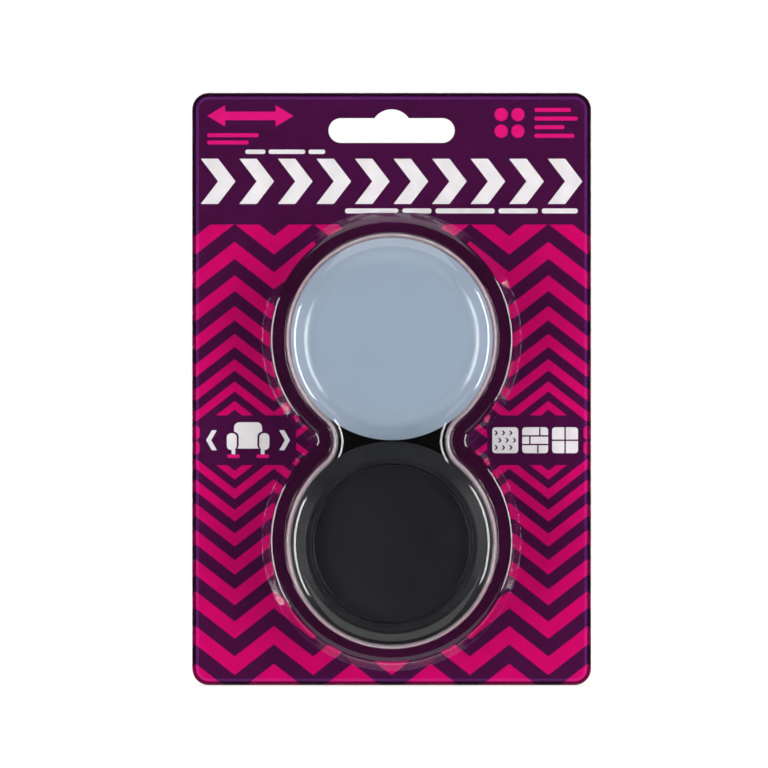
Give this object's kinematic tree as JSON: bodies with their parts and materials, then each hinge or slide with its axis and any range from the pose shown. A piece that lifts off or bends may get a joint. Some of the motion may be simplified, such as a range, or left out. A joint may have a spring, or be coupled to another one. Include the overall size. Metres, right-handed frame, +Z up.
{
  "type": "furniture slider hang pack",
  "caption": "Hang pack of round furniture sliders: blue-grey glides with black rubber leg cups, stacked in a clear two-lobed blister on a printed card.",
  "frame": {"origin": "centre of the hang slot, on the card's back face", "axes": "+Z up the card, +X to the right seen from the front, -Y out of the front, where the bubble is"},
  "size_m": [0.12, 0.0205, 0.1782],
  "materials": {
    "card_board": "printed, satin",
    "clear_sheet": "clear, glossy",
    "glide_plastic": "smooth, satin",
    "cup_rubber": "moulded, matte",
    "bond_film": "adhesive film"
  },
  "bodies": {
    "card": {"card": "card_board"},
    "blister": {"blister": "clear_sheet"},
    "slider_upper_front": {"glide_upper_front": "glide_plastic", "cup_upper_front": "cup_rubber", "bond_upper_front": "bond_film"},
    "slider_upper_rear": {"glide_upper_rear": "glide_plastic", "cup_upper_rear": "cup_rubber", "bond_upper_rear": "bond_film"},
    "slider_lower_front": {"glide_lower_front": "glide_plastic", "cup_lower_front": "cup_rubber", "bond_lower_front": "bond_film"},
    "slider_lower_rear": {"glide_lower_rear": "glide_plastic", "cup_lower_rear": "cup_rubber", "bond_lower_rear": "bond_film"}
  },
  "joints": [
    {"name": "blister_peel", "type": "slide", "parent": "card", "child": "blister", "axis": [0, -1, 0], "range_m": [0, 0.04]},
    {"name": "slider_upper_front_spin", "type": "hinge", "parent": "blister", "child": "slider_upper_front", "pos_m": [0, -0.0152, -0.06297], "axis": [0, -1, 0], "continuous": true},
    {"name": "slider_upper_rear_spin", "type": "hinge", "parent": "blister", "child": "slider_upper_rear", "pos_m": [0, -0.0057, -0.06297], "axis": [0, -1, 0], "continuous": true},
    {"name": "slider_lower_front_spin", "type": "hinge", "parent": "blister", "child": "slider_lower_front", "pos_m": [0, -0.0152, -0.12347], "axis": [0, -1, 0], "continuous": true},
    {"name": "slider_lower_rear_spin", "type": "hinge", "parent": "blister", "child": "slider_lower_rear", "pos_m": [0, -0.0057, -0.12347], "axis": [0, -1, 0], "continuous": true}
  ]
}
